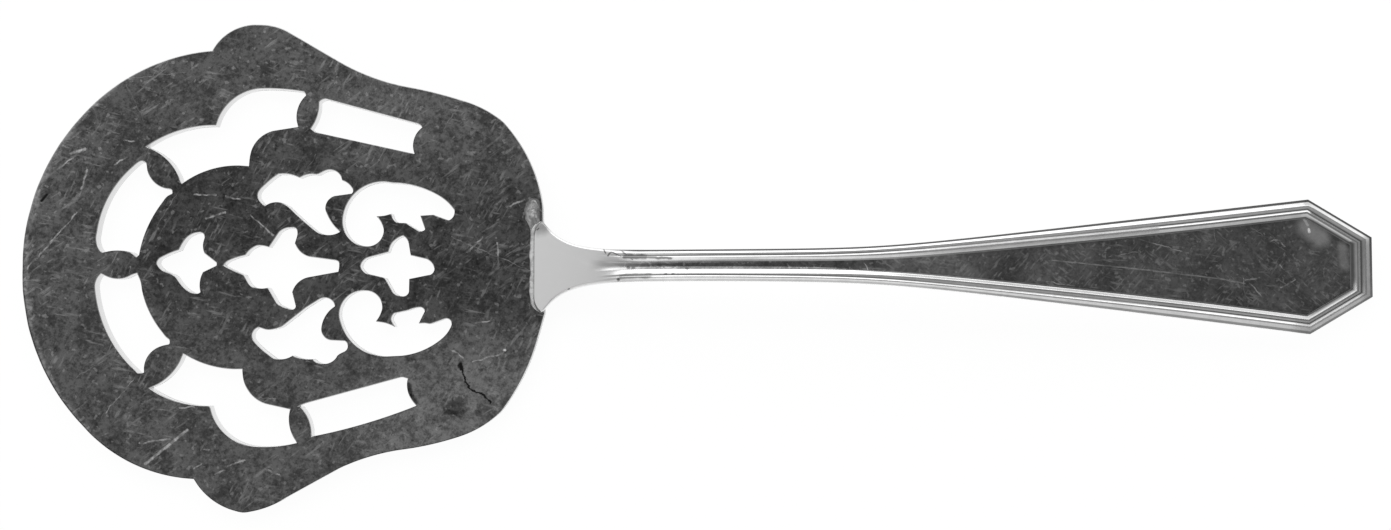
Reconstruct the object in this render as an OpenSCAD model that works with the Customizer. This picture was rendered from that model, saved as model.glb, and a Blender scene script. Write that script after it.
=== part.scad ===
// Cucumber server: a flat pierced blade soldered under the heel of a reeded handle.
// Millimetres. +X runs from the blade to the handle's tip, +Z is up, and the blade
// lies flat on z = 0 with the tip of the handle just touching the same surface.

/* [Blade] */
// Front edge to the rear shoulder of the blade
blade_len = 61.4; // [52:0.1:72]
// Width across the two ears
blade_w = 57.4; // [48:0.1:68]
// Thickness of the sheet
blade_t = 1.6; // [1:0.1:2.2]
// Length of the hidden tongue behind the shoulder
tongue_len = 4.2; // [3:0.1:5]
// How far the tongue's sides stay inside the heel
tongue_inset = 0.35; // [0.2:0.05:0.8]

/* [Solder seam] */
// Thickness of the solder between tongue and heel
solder_t = 0.1; // [0.05:0.01:0.3]
// Width of the fillet along the toe of the heel
fillet_w = 0.6; // [0.3:0.05:1]
// Width of the lump of run-out solder, along the handle
lump_w = 1.8; // [1:0.1:2.4]
// Length of the lump, across the handle
lump_len = 3; // [2:0.1:4]
// Height of the lump
lump_h = 0.4; // [0.2:0.05:0.6]

/* [Handle outline] */
// Toe of the heel to the end of the tip
handle_len = 98.5; // [85:0.5:115]
// How far the toe reaches over the blade, in front of the shoulder
heel_over = 1.15; // [0.8:0.05:2]
// Width across the heel
heel_w = 11.4; // [9:0.1:14]
// Corner radius of the heel at its toe
heel_corner_r = 2; // [1.2:0.1:2.4]
// Distance from the toe at which the heel is at its full width
heel_peak = 0.7; // [0.4:0.05:1]
// Length over which the heel's concave sides die away
heel_flare = 2.6; // [2:0.1:3.5]
// Width of the stem at its narrowest
neck_w = 3.4; // [2.6:0.1:4.5]
// Distance from the toe at which the stem begins to widen
flare_start = 39.6; // [30:0.1:48]
// Softness of that bend
flare_soft = 8; // [3:0.5:15]
// Greatest width of the tip
tip_w = 15.75; // [12:0.05:20]
// Length of the two slanting corners of the tip
tip_slant = 7.85; // [5:0.05:11]
// Width of the flat end
end_w = 7; // [4:0.1:10]

/* [Handle profile] */
// Thickness of the heel at its toe
toe_t = 0.35; // [0.25:0.05:0.6]
// Slope of the heel above the blade, in degrees
heel_angle = 22; // [14:1:28]
// Distance from the toe to the highest point of the handle
crest_at = 26; // [20:1:34]
// Thickness of the neck
neck_t = 2.5; // [2:0.1:3]
// Thickness of the tip
tip_t = 1.8; // [1.4:0.1:2.4]

/* [Border] */
// Width of the slope from the edge up to the outer reed
edge_slope_w = 0.72; // [0.5:0.02:0.9]
// Height of that slope
edge_slope_h = 0.45; // [0.3:0.01:0.6]
// Width of the flat crest of each reed
reed_crest_w = 0.1; // [0.06:0.01:0.2]
// Width of the slope from the outer reed down to the groove
groove_slope_w = 0.3; // [0.2:0.02:0.4]
// Depth of the groove below the outer reed
groove_depth = 0.12; // [0.08:0.01:0.2]
// Width of the floor of the groove
groove_w = 0.08; // [0.05:0.01:0.15]
// Width of the slope from the groove up to the inner reed
inner_slope_w = 0.28; // [0.2:0.02:0.4]
// Height of the inner reed above the groove
inner_reed_h = 0.09; // [0.04:0.01:0.16]
// Width of the bevel from the inner reed down to the panel
bevel_w = 0.57; // [0.3:0.01:0.8]
// Depth of the panel below the outer reed
panel_depth = 0.5; // [0.4:0.02:0.7]
// Share of the half width that the border takes on the slim stem
stem_border = 0.76; // [0.6:0.02:0.85]
// Distance from the toe at which the reeds begin to rise
reed_start = 7.2; // [6.5:0.1:9]
// Distance from the toe at which the reeds stand at full height
reed_full = 12.4; // [11:0.1:16]

/* [Hidden] */

// An arc's pieces turn by no more degrees and are no longer than this
arc_turn = 12;
arc_piece = 1.2;

// Places along X
overall_len = blade_len - heel_over + handle_len;
front_x = -overall_len / 2;
shoulder_x = front_x + blade_len;
toe_x = shoulder_x - heel_over;
lap_len = heel_over + tongue_len;

// Heights
lap_z = blade_t + solder_t;
heel_slope = tan(heel_angle);
crest_z = lap_z + toe_t + heel_slope * crest_at / 2;
widest_u = handle_len - tip_slant;

// Blade outlines, counter-clockwise, as [x, y, swell]: the stretch to the next point is an
// arc that swells outwards by that much, or straight at 0. They are drawn at the size below,
// with x = 0 at the centre of the round front, and stretched to the blade's own size. The
// piercing is hand work, so the two sides of the axis differ a little.
drawn_front = 25.4;
drawn_len = 61.4;
drawn_w = 57.4;

rim = [
    [-4.9, -24.8, 0.8], [0.9, -28.7, 0.35], [6, -26.9, 0], [12, -23.6, -0.34], [20, -21.3, 0.13],
    [26, -19.9, 0.35], [31, -16.9, 0.5], [35.3, -8, 0], [36, -5.5, 0], [35.75, 6.8, 0],
    [35.6, 8, 0.75], [31, 17.2, 0.3], [26, 19.75, 0.1], [20, 21.25, -0.35], [12, 24.1, 0],
    [6, 27.6, 0.29], [2.2, 28.7, 0.95], [-3.4, 25.6, 1.65], [-18.65, 17.9, 1.85],
    [-25.4, 0, 2.03], [-18, -18.6, 1.45]
];

slot_upper = [
    [-11.8, 12.4, 1], [-16.65, 4, 0.33], [-16, 1.7, -0.2], [-12.9, 1.8, -0.12], [-12, 1.15, 0],
    [-11.7, 1.4, -0.55], [-8.4, 8.4, 0], [-7.9, 8.65, 0.1], [-8.1, 9.15, -0.8], [-10.95, 12, 0.25]
];
slot_lower = [
    [-16.1, -0.8, 0.25], [-16.75, -2.6, 1], [-11.8, -12.2, 0.2], [-10.9, -12.35, -0.65],
    [-9, -9.3, 0], [-8, -9.05, 0.15], [-8.2, -8.4, -0.6], [-11.45, -1.8, 0], [-11.9, -0.75, 0],
    [-12.5, -0.95, -0.34], [-15.3, -1.2, 0]
];

ribbon_upper = [
    [-11, 14.2, -0.8], [-6.8, 9.8, -0.8], [1.1, 11.9, 0], [1.2, 13, -0.67], [4, 16.1, 0],
    [6.85, 16.55, -0.58], [7.75, 20.3, 0], [7.5, 20.7, 0.1], [3, 21.08, 1.3], [-2.8, 16.7, 0.68]
];
ribbon_lower = [
    [-10.2, -14.2, 0.6], [-3.1, -16.3, 1.4], [3, -21.07, 0.14], [7.1, -20.6, -0.45],
    [6.25, -16.7, 0], [4, -16.2, -0.68], [0.75, -13.2, 0], [0.6, -12, -0.55], [-6.3, -10.2, -0.65]
];

window_upper = [
    [8.4, 16.35, 0], [9.2, 15.85, 0], [20.6, 13.35, -0.55], [21.5, 16.5, 0], [21, 16.9, 0],
    [10.1, 19.85, 0.1], [9.35, 19.5, -0.28]
];
window_lower = [
    [8.85, -19.85, 0.3], [21.05, -16.25, -0.45], [20, -13.1, 0], [19.2, -12.95, 0],
    [8.2, -15.95, 0], [7.2, -16.35, 0], [7.6, -16.42, -0.35]
];

leaf_upper = [
    [3.05, 7.2, -0.55], [6, 7, 0.05], [9, 4.35, 0.48], [11.9, 4.15, -0.27], [10.15, 6.9, -0.3],
    [11.2, 8.37, 0], [13.2, 8.65, 0.15], [13.3, 9.25, 0.14], [12.1, 10.2, 0.6], [10, 11.3, 0],
    [9.1, 10.9, 0.2], [7.1, 10.5, 0.2], [4.6, 10.95, 0.1], [2.4, 9, 0.15], [2.35, 8, 0]
];
leaf_lower = [
    [2.5, -7.1, 0.48], [2, -8.7, 0.15], [4.6, -10.8, 0.18], [6.5, -10.4, 0.17], [8.9, -10.82, 0.75],
    [11.75, -10.4, 0], [12.5, -9.95, 0.4], [12.6, -8.7, 0], [11, -8.62, -0.35], [9.82, -7.3, -0.38],
    [11.4, -4.6, 0.55], [9.5, -3.85, 0], [8, -4.8, 0], [5.3, -6.95, -0.1], [3.6, -7.4, 0]
];

scroll_upper = [
    [12.25, 5.5, 0.85], [15.1, 2.43, 0.6], [17.05, 4.4, 0.12], [16.2, 5.97, 0.08], [18, 6.3, 0.15],
    [18.6, 5.3, 0], [19.9, 5.08, 0], [21.3, 4.22, 0.1], [21.92, 4.45, 0], [21.35, 6.05, 0],
    [22.9, 6.15, 0], [24.7, 5.5, 0.25], [25.35, 6.7, 0.1], [23.8, 8.2, 0.42], [18, 9.92, 1.7]
];
scroll_lower = [
    [11.95, -5.6, 1.65], [18.3, -10.45, 0.6], [24.2, -8.2, 0.1], [25.1, -6.8, 0.3], [24.3, -6.1, 0],
    [22.7, -6.68, 0.05], [21.25, -6.65, 0], [21.95, -5.2, 0.15], [21.3, -4.75, 0.05],
    [19.8, -5.15, 0], [18.4, -5.45, 0.1], [18.05, -6.2, 0], [18.5, -7.05, 0], [17.4, -6.62, 0],
    [16.2, -6.42, 0.12], [16.95, -4.8, 0.58], [15, -2.8, 0.92]
];

trefoil = [
    [-9.55, 0.45, 0.15], [-8.5, -0.55, 0], [-7.4, -1.05, 0], [-6.8, -1.85, 0.15],
    [-5.2, -3.08, 0.12], [-4.42, -2.95, -0.22], [-4.15, -0.6, 0], [-2.6, 0.15, 0.08],
    [-2.65, 0.55, 0], [-4, 1.6, -0.17], [-4.05, 3.3, 0.3], [-4.7, 4.05, 0.2], [-6.3, 3.2, 0],
    [-7, 2, 0.05], [-9, 1.15, 0.12]
];
palmette = [
    [-1.7, 0.2, 0.05], [0.7, -0.92, 0], [1.15, -1.7, 0.17], [2.2, -2.47, 0.08], [3.55, -2.42, 0],
    [4.6, -4.2, 0.1], [6.2, -4.97, 0.18], [6.8, -4.6, 0], [6.36, -2.95, -0.35], [8.2, -1.2, 0],
    [11.75, -0.55, 0.05], [11.85, 0.5, 0.05], [11.4, 0.78, 0], [8.3, 1.2, -0.3], [6.62, 2.8, 0],
    [6.9, 4.15, 0.2], [6.2, 4.62, 0.18], [4.75, 4.05, 0], [3.6, 2.3, 0.08], [2.2, 2.5, 0.15],
    [0.85, 1.38, 0.05], [-1, 0.8, 0.08]
];
cross = [
    [14.4, 0.1, 0.15], [15.3, -0.82, 0], [17.3, -1.3, 0], [18.2, -2.9, 0.12], [19.3, -3.45, 0.2],
    [20.08, -2.85, 0], [20.1, -1.4, 0], [22.3, -0.95, 0.2], [23.05, -0.25, 0.2], [22.1, 0.92, 0],
    [20.25, 1.35, 0], [20, 2.8, 0.1], [19.35, 3.67, 0.12], [18.05, 2.8, 0], [17.65, 1.75, 0],
    [15.3, 1.12, 0.2]
];

PIERCINGS = [
    slot_upper, slot_lower, ribbon_upper, ribbon_lower, window_upper, window_lower, leaf_upper,
    leaf_lower, scroll_upper, scroll_lower, trefoil, palmette, cross
];

// Points of the arc from a up to, but without, b that swells to the right by s
function arc(a, b, s) =
    let (
        chord = norm(b - a),
        along = (b - a) / chord,
        out = sign(s) * [along.y, -along.x],
        r = (chord * chord / 4 + s * s) / (2 * abs(s)),
        half = 2 * atan(2 * abs(s) / chord),
        centre = (a + b) / 2 - (r - abs(s)) * out,
        n = max(2, ceil(2 * half / arc_turn), ceil(r * half * PI / 90 / arc_piece))
    )
    [for (i = [0 : n - 1]) let (t = half * (2 * i / n - 1)) centre + r * (sin(t) * along + cos(t) * out)];

// A drawn outline as plain points at the blade's own size and place
function outline(drawn) = [
    for (
        i = [0 : len(drawn) - 1],
        p = let (
            a = [drawn[i].x, drawn[i].y],
            next = drawn[(i + 1) % len(drawn)],
            b = [next.x, next.y]
        ) drawn[i].z == 0 ? [a] : arc(a, b, drawn[i].z)
    )
    [front_x + (p.x + drawn_front) * blade_len / drawn_len, p.y * blade_w / drawn_w]
];

// Half width of the handle at the distance u from its toe, up to the widest point
function bend(u) = (u - flare_start) + sqrt(pow(u - flare_start, 2) + pow(flare_soft, 2));
function stem_half(u) = neck_w / 2 + (tip_w - neck_w) / 2 * bend(u) / bend(widest_u);
function flare_half(u) = stem_half(u) + (heel_w - neck_w) / 2 * exp((heel_peak - u) / heel_flare);
function corner_half(u) =
    heel_w / 2 - heel_corner_r + sqrt(pow(heel_corner_r, 2) - pow(heel_corner_r - u, 2));
function handle_half(u) =
    u < heel_corner_r ? min(flare_half(u), corner_half(u)) : flare_half(u);

// Height of the handle's top and underside on its axis
function top_z(u) =
    u < crest_at
        ? crest_z - heel_slope / (2 * crest_at) * pow(crest_at - u, 2)
        : crest_z - (crest_z - tip_t) * pow((u - crest_at) / (handle_len - crest_at), 2);
function thickness(u) = neck_t + (tip_t - neck_t) * u / handle_len;
function under_z(u) =
    u <= lap_len ? lap_z : max(u < crest_at ? lap_z : 0, top_z(u) - thickness(u));

// Stations along the handle, from the toe to the end of the tip
function spread(a, b, n) = [for (i = [1 : n]) a + (b - a) * i / n];
stations = concat(
    [for (turn = [0 : 15 : 90]) heel_corner_r * (1 - cos(turn))],
    spread(heel_corner_r, lap_len, 5),
    spread(lap_len, reed_full, 8),
    spread(reed_full, crest_at, 6),
    spread(crest_at, widest_u, 18),
    [handle_len]
);
last = len(stations) - 1;

// The border from the panel out to the edge, as [distance from the edge, depth below the outer reed]
outer_reed_end = edge_slope_w + reed_crest_w;
groove_end = outer_reed_end + groove_slope_w + groove_w;
inner_reed_end = groove_end + inner_slope_w + reed_crest_w;
border_w = inner_reed_end + bevel_w;
inner_reed_depth = groove_depth - inner_reed_h;
border = [
    [border_w, panel_depth],
    [inner_reed_end, inner_reed_depth],
    [inner_reed_end - reed_crest_w, inner_reed_depth],
    [groove_end, groove_depth],
    [groove_end - groove_w, groove_depth],
    [outer_reed_end, 0],
    [edge_slope_w, 0],
    [0, edge_slope_h]
];

// Share of the border's width and depth that is there at the distance u
function border_width(u) = min(1, stem_border * half_at(u) / border_w);
function half_at(u) = handle_half(min(u, widest_u));
function border_rise(u) =
    let (t = min(1, max(0, (u - reed_start) / (reed_full - reed_start))))
    t * t * (3 - 2 * t);

// Directions in which a border line moves inwards, for 1 mm of its width
function unit(v) = v / norm(v);
side_in = unit([handle_half(widest_u) - handle_half(widest_u - 1), -1]);
slant_in = unit([-(tip_w - end_w) / 2, -tip_slant]);
end_in = [-1, 0];
function mitre(a, b) = (a + b) / (1 + a * b);
function inwards(i) =
    i == last ? mitre(slant_in, end_in) : i == last - 1 ? mitre(side_in, slant_in) : [0, -1];

// One line of the handle's skin, along the upper side to the tip and back along the lower one
function edge_point(i) = [stations[i], i == last ? end_w / 2 : handle_half(stations[i])];
function skin_point(i, line) =
    let (p = edge_point(i) + inwards(i) * line[0] * border_width(stations[i]))
    [p.x, p.y, top_z(p.x) - line[1] * border_rise(p.x)];
function both_sides(side) =
    concat(side, [for (i = [last : -1 : 0]) [side[i].x, -side[i].y, side[i].z]]);
function under_point(i) = let (p = edge_point(i)) [p.x, p.y, under_z(p.x)];
skin = concat(
    [for (line = border) both_sides([for (i = [0 : last]) skin_point(i, line)])],
    [both_sides([for (i = [0 : last]) under_point(i)])]
);

// The handle's plan, for what is cut or laid against it
handle_plan = [for (p = skin[len(skin) - 1]) [toe_x + p.x, p.y]];

module slab(z, t) {
    translate([0, 0, z]) linear_extrude(t) children();
}

// Plan of the blade's sheet with its tongue and without its openings
module sheet_plan() {
    polygon(outline(rim));
    tongue_plan();
}

module tongue_plan() {
    us = concat([heel_over / 2], spread(heel_over / 2, lap_len, 8));
    upper = [for (u = us) [toe_x + u, handle_half(u) - tongue_inset]];
    polygon(concat(upper, [for (i = [len(us) - 1 : -1 : 0]) [upper[i].x, -upper[i].y]]));
}

module blade() {
    color([0.36, 0.36, 0.36]) {
        slab(0, blade_t)
            difference() {
                polygon(outline(rim));
                for (drawn = PIERCINGS) polygon(outline(drawn));
            }
        slab(0, blade_t) tongue_plan();
    }
}

// Triangles between two neighbouring lines of n points, without the closing stretch
function strip(a, b, n) = [
    for (j = [0 : n - 2], f = [[a + j, b + j, b + j + 1], [a + j, b + j + 1, a + j + 1]]) f
];

// Triangles across a line's own two sides
function across(a, n) = [
    for (i = [0 : n / 2 - 2], f = [[i, i + 1, n - 2 - i], [i, n - 2 - i, n - 1 - i]]) f + [a, a, a]
];
function flipped(faces) = [for (f = faces) [f.z, f.y, f.x]];

module handle() {
    n = len(skin[0]);
    under = (len(skin) - 1) * n;
    foot_upper = under;
    foot_lower = under + n - 1;
    toe_upper = [for (k = [0 : len(skin) - 3]) [foot_upper, (k + 1) * n, k * n]];
    toe_lower = [for (k = [0 : len(skin) - 3]) [foot_lower, k * n + n - 1, (k + 2) * n - 1]];
    toe_middle = [[foot_upper, 0, n - 1], [foot_upper, n - 1, foot_lower]];
    faces = concat(
        across(0, n),
        [for (k = [0 : len(skin) - 2], f = strip(k * n, (k + 1) * n, n)) f],
        flipped(across(under, n)),
        toe_upper,
        toe_lower,
        toe_middle
    );
    color([0.7, 0.7, 0.7])
        translate([toe_x, 0, 0])
            polyhedron([for (line = skin, p = line) p], faces);
}

// Part of the handle's plan that lies within reach of the blade
module heel_plan(reach) {
    intersection() {
        polygon(handle_plan);
        translate([toe_x - reach, -heel_w]) square([2 * reach, 2 * heel_w]);
    }
}

module toe_fillet() {
    hull() {
        slab(blade_t, solder_t / 2) offset(delta = fillet_w) heel_plan(heel_over / 2);
        slab(lap_z, toe_t) heel_plan(heel_over / 2);
    }
}

module solder_lump() {
    translate([toe_x, heel_w / 2 + lump_len / 4, blade_t])
        scale([lump_w / 2, lump_len / 2, lump_h]) sphere(1, $fn = 32);
}

module solder_seam() {
    color([0.8, 0.8, 0.8]) {
        slab(blade_t, solder_t)
            intersection() {
                sheet_plan();
                heel_plan(lap_len);
            }
        difference() {
            intersection() {
                slab(blade_t, toe_t + lump_h) sheet_plan();
                union() {
                    toe_fillet();
                    solder_lump();
                }
            }
            slab(lap_z, toe_t + lump_h) polygon(handle_plan);
        }
    }
}

blade();
handle();
solder_seam();
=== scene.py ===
"""Cucumber server: the worn silver of its pierced blade, its reeded handle and its solder seam."""
import math

import bpy
import numpy as np
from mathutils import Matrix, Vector, noise
from mathutils.geometry import delaunay_2d_cdt


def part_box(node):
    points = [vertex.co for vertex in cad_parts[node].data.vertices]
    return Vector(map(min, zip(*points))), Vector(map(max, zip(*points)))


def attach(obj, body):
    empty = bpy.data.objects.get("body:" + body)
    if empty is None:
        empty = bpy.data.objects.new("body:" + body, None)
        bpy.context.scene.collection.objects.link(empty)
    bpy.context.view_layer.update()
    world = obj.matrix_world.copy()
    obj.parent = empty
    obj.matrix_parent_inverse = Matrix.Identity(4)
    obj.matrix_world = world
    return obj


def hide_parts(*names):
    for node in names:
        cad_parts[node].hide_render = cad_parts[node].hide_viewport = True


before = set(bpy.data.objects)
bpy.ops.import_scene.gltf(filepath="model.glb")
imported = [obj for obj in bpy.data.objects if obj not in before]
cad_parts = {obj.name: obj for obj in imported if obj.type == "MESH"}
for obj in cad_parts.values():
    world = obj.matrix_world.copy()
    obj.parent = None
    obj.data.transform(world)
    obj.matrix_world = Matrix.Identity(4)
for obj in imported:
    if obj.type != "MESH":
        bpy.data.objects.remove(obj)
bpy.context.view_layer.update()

MM = 0.001
BODY = "root"

# Blade, in mm
OPENING_ARRIS = 0.09  # radius of the edges of a sawn opening
RIM_ARRIS = 0.08  # radius of the edges of the outer rim
FACET_W = 0.85  # mean width of the shallow facet that scraping has worn along the front
FACET_SLOPE = math.tan(math.radians(15))
FRONT_WEAR_LEN = 20  # length over which that wear dies away
FACET_UNEVEN = 0.6  # how far that width varies,
FACET_WAVES = 0.5  # with so many waves per mm
FACET_STEPS = 5
ARRIS_STEPS = 4
WEAR_DEPTH = 1.3  # how far the wear of an upper edge reaches down, in its radii
RIM_WEAR = 0.35  # how bright the rim is worn, where the sawn openings are at 1
SHADOW_SIDE = (-0.7, 0.7)  # way that an opening's edge faces where a painted shadow darkens it
# way that the rim's edge faces where a painted shadow darkens it
RIM_SHADOW_SIDE = (-0.5, -0.87)
SHADOW_TURN = (0.2, 0.7)  # how far an edge faces that way where its painted shadow starts and where it is full
GUARD = 0.03  # flat margin beside each rounded edge
OUTLINE_STEP = 0.3
CORNER_TURN = math.radians(30)
STRAIGHT_FROM = 1.4  # a longer side of the CAD outline is straight, a shorter one is part of an arc
MITRE_LIMIT = 0.5
KEEP_CLEAR = 0.999  # share of its distance that an inset outline keeps from the first one
WELD = 1e-4
BLADE_SHARP = math.radians(50)  # a sharper fold is shaded as an edge

# Handle, in mm, measured from the toe of its heel; a change takes place between a pair of places
HEEL_W = 11.4
HEEL_CORNER_R = 2.0
HEEL_PEAK = 0.7
HEEL_FLARE = 2.6
HEEL_ARRIS = 0.3
HEEL_ARRIS_MOST = 0.6  # largest share of the thickness that this radius takes
LAP_LEN = 5.35
NECK_W = 3.4
FLARE_START = 39.6
FLARE_SOFT = 8.0
TIP_SLANT = 7.85
END_W = 7.0
HEEL_SLOPE = math.tan(math.radians(22))
CREST_AT = 26.0
NECK_T = 2.5
TIP_T = 1.8
UNDER_ARRIS = 0.35
UNDER_ARRIS_MOST = 0.3
FAN_LEN = 6  # last stretch of the sides, where the lines of the border close up to a corner
REED_START = 7.2
REED_FULL = 12.4
REED_ROUND = 0.02  # half width over which the border's corners are worn round

# Border of the tip as distance from the edge and depth below the outer reed
BORDER = np.array([
    (0, 0.45), (0.7, 0), (0.85, 0), (1.13, 0.12), (1.2, 0.12), (1.42, 0.03),
    (1.64, 0.03), (1.97, 0.27), (2.15, 0.3),
])
BORDER_W = BORDER[-1, 0]
BORDER_LINES = 56
GROOVE_AT = 1.16  # middle of the groove between the reeds, from the edge
STEM_GROOVE_AT = 0.68  # the same on the stem
STEM_BORDER_W = 1.36
GROOVE_GROWS = (40, 82)  # here the groove moves inwards
BORDER_GROWS = (20, 84)  # here the border widens
CREST = BORDER[5:7, 0]  # the flat crest of the inner reed, from the edge
CREST_SHRINK = 0.21  # how much narrower that crest is on the stem
CREST_GROWS = (22, 46)
STEM_FOOT = 0.075  # how much deeper the foot of the bevel is on the stem
END_BORDER = 1.3  # how much wider the border is on the flat end
STEM_DISH = 0.14  # how far the narrow panel of the stem is hollowed
DISH_STARTS = (6.5, 9.5)
DISH_ENDS = (24, 50)  # here the panel becomes flat
PANEL_STRIPS = 12
HANDLE_SHARP = math.radians(40)

# Dirt on lines of the border as middle, half width and share
GROOVE_DIRT = (GROOVE_AT, 0.12, 0.85)
CREST_DIRT = (CREST.mean(), 0.07, 0.6)
FOOT_DIRT = (2.07, 0.1, 0.85)  # at the foot of the bevel
BEVEL_DIRT = (1.95, 0.22, 0.85)  # on the bevel of the slants
DIRT_GROWS = (34, 58)  # here the crest and the foot get dirty
BEVEL_GROWS = (-1, 0.5)  # the same for the bevel, from the widest place
EDGE_SHADE = (0.21, 0.3)  # width of the painted shade line along the outer edge of the stem and of the tip
EDGE_SOFT = 0.04
LOWER_EDGE_SHADE = (0.3, 0.6)  # how much of that line is left on the lower side of both
WALL_SHADE = 0.1  # share of the wall's height over which that painted shade line ends
# Along this stretch the inner reed of the upper side is made duller and darker and the groove of the
# lower side less dark
DULL_U = (34, 46, 58, 72)  # places along this stretch
DULL_STARTS = (37, 52)  # here it sets in
DULL_REED = (1.42, 0.95)  # distance from the edge and width
DULL_GROOVE = (1.2, 0.4)

# Solder, in mm
SOLDER_T = 0.1
SOLDER_SHARP = math.radians(50)
SEAM_INSET = 0.1  # how far the layer under the heel stays inside it
TOE_T = 0.35
FILLET_W = 0.6
FILLET_H = 0.4
FILLET_REACH = 1.1  # how far the fillet follows each side of the heel
FILLET_TAPER = 2.2  # length over which both ends of the fillet run out
FILLET_BLUNT = 0.3  # how far its taper would go on past each end
FILLET_BACK = 0.1  # how far it reaches under the toe, as a share of its width
FILLET_WAVES = [(0.1, 1.7, 0), (0.07, 4.3, 1)]  # how its width varies: share, rate and start
FILLET_STEPS = 6
GRIME_W = 0.12  # width of the dirt along the outer border of the fillet and of the painted shade in its crease at the toe
LUMP_AT = (-0.15, 6.3)  # middle of the lump, from the toe and the axis
LUMP_SIZE = (1.1, 1.8, 0.12)
LUMP_SIDES = 40
LUMP_TIERS = 12
LUMP_UNEVEN = 0.35  # how far its outline varies
LUMP_ROUGH = 0.3  # how far its height varies
LUMP_GRIME = 0.62
LUMP_CLEAN = 0.6  # how much of that grime is gone where it meets the heel
LUMP_END = 0.55  # how far behind the toe it may reach without leaving the blade
FILLET_DULL = 0.4  # how far the fillet is covered by the smear at the upper corner,
DULL_FROM = (3.4, 4.8)  # between these distances from the axis

# Marks in plan, in mm, as X and Y of two ends
BLADE_SCRATCHES = [
    (-78.8, -0.2, -73, 6.4), (-74, 13.4, -72.2, 13.9), (-59.2, 8.5, -56.7, 8.5),
    (-57.8, 5.8, -55.6, 6.4), (-52.6, 6.1, -49.9, 3.7), (-55.6, 8.4, -53.9, 8),
    (-75.2, 11.7, -72.7, 13.6), (-72.5, 9.2, -71.9, 11.7), (-67.7, 14.9, -66.5, 14.8),
    (-68.7, 12.1, -67.3, 12.9), (-65.2, -20.6, -61.7, -20.1), (-54.9, -23.3, -53, -22.6),
    (-58.9, -23.7, -58, -23), (-50.6, -23.6, -48.9, -24.2), (-57.8, -21.3, -57.1, -21.4),
    (-60.6, -16.5, -58.9, -16.4), (-56.3, -24.2, -55.2, -23.8), (-22.4, 7.1, -20.3, 7.9),
    (-23.5, 2.9, -23.4, 0.3), (-27.1, 1.7, -25.3, 3.5), (-26.3, -11.1, -22.9, -10.1),
    (-26, -6.7, -24, -6.3), (-28.7, -9.8, -27.5, -10.6),
]
BLADE_GOUGES = [(-64.5, -23, -59.7, -19.1), (-73.8, 13.4, -72.2, 13.9)]
PANEL_SCRATCHES = [
    (64.2, -2, 65.7, -3.6), (67.9, 0.1, 69.7, -1.6), (71.7, -2.5, 74.6, -3.4), (63.6, -1.6, 65.3, -1.4),
    (69.7, -1.6, 67.9, -2.5), (66.3, 2.8, 67.1, 3.1), (67.1, 3.1, 67.9, 3), (67.9, 3, 68.5, 2.4),
]
STEM_NICKS = [
    (-10.8, 1.9, -10.5, 1.5), (-8.8, 1.8, -7.5, 0.7), (-10.3, 1.1, -9.9, 1.6), (-9.9, 1.6, -8.8, 1.1),
    (-15, -2.7, -14.9, -2.7), (-9.2, -1.8, -9.1, -1.8), (-18.8, 4.4, -18.6, 4.5),
]
# Marks from corner to corner
CRACK = [
    (-27.75, -11.5), (-27.5, -12.4), (-27.1, -13.5), (-26.7, -14.2), (-26.2, -14.5), (-25, -15),
    (-24.7, -15.4), (-24.2, -15.9),
]
LONG_SCRATCH = [(40.7, 0.6), (52, -0.5), (60.8, -1.5), (63.6, -2)]
# Single marks as two ends and width
BLADE_PIT = (-22.65, -9.75, -22.55, -9.75, 0.3)
CRACK_HEAD = (-27.8, -11.45, -27.7, -11.75, 0.55)
BLADE_NICK = (-77.2, 7.8, -76.6, 8.5, 0.34)
TIP_SATIN = (71.5, -7.9, 79.4, -3.5, 4.4)
END_SATIN = (79.4, -3.3, 79.4, 2.2, 3)
HEEL_SMEAR = (-18.9, 6, -18.3, 5.1, 2.6)
# a dent, painted as a bright glint
PANEL_DENT_GLINT = (71.5, 4.35, 71.55, 4.1, 0.36)
# Dark marks and patches as two ends, width and change of brightness
BLADE_DARK_MARKS = [
    (-29.4, -17, -28.2, -17.1, 0.7, -0.6), (-28.5, -16.7, -27.8, -16.8, 1.9, -0.4),
    (-25.8, -17, -25.7, -17.1, 0.8, -0.4), (-22.8, -16, -22.6, -15.9, 0.8, -0.4),
    # the last three darken the borders at the end of one opening
    (-33.9, -10.4, -33, -11.6, 0.9, -0.4), (-33.9, -13.8, -33.5, -15.2, 0.6, -0.7),
    (-33.5, -15.2, -33, -15.9, 0.6, -0.7),
]
BLADE_PATCHES = [
    (-56, 3, -22, 1, 24, -0.4), (-34, -17, -26, -13, 15, 0.45), (-38, 16, -27, 12, 12, 0.16),
    (-60, -9, -54, -6, 10, 0.15),
]
PANEL_PATCHES = [(24.5, 0.2, 31, 0.2, 5, 0.4), (42, 0.2, 45, 0, 4, 0.25)]
# Dirt and sheen as two ends, width and strength
STEM_DIRT = [
    (-8.4, 1.06, -6, 1, 0.56, 0.85), (-6, 0.98, -3.1, 0.83, 0.32, 0.75),
    (-8.8, -1.24, -5.6, -1.16, 0.7, 0.6), (-8.1, -0.25, -7.9, -0.25, 0.34, 0.8),
    (-7.5, -0.25, -7.3, -0.25, 0.3, 0.8), (-1.2, -0.3, -1.1, -0.35, 0.3, 0.8),
    (-3.8, -0.95, -3.6, -0.9, 0.26, 0.7), (-2.8, -0.95, -2.7, -0.95, 0.26, 0.7),
    (-9.15, -1.5, -9.1, -1.52, 0.36, 0.9),
]
# painted sheen of light on the panel, near the dent and at the end
PANEL_SHEEN = [
    (71.3, 4.7, 72.9, 3.5, 2.4, 0.4), (75.6, 2.2, 75.9, 0.2, 1.3, 0.3), (71, 5.4, 71.4, 4.8, 0.4, 0.7),
]

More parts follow.
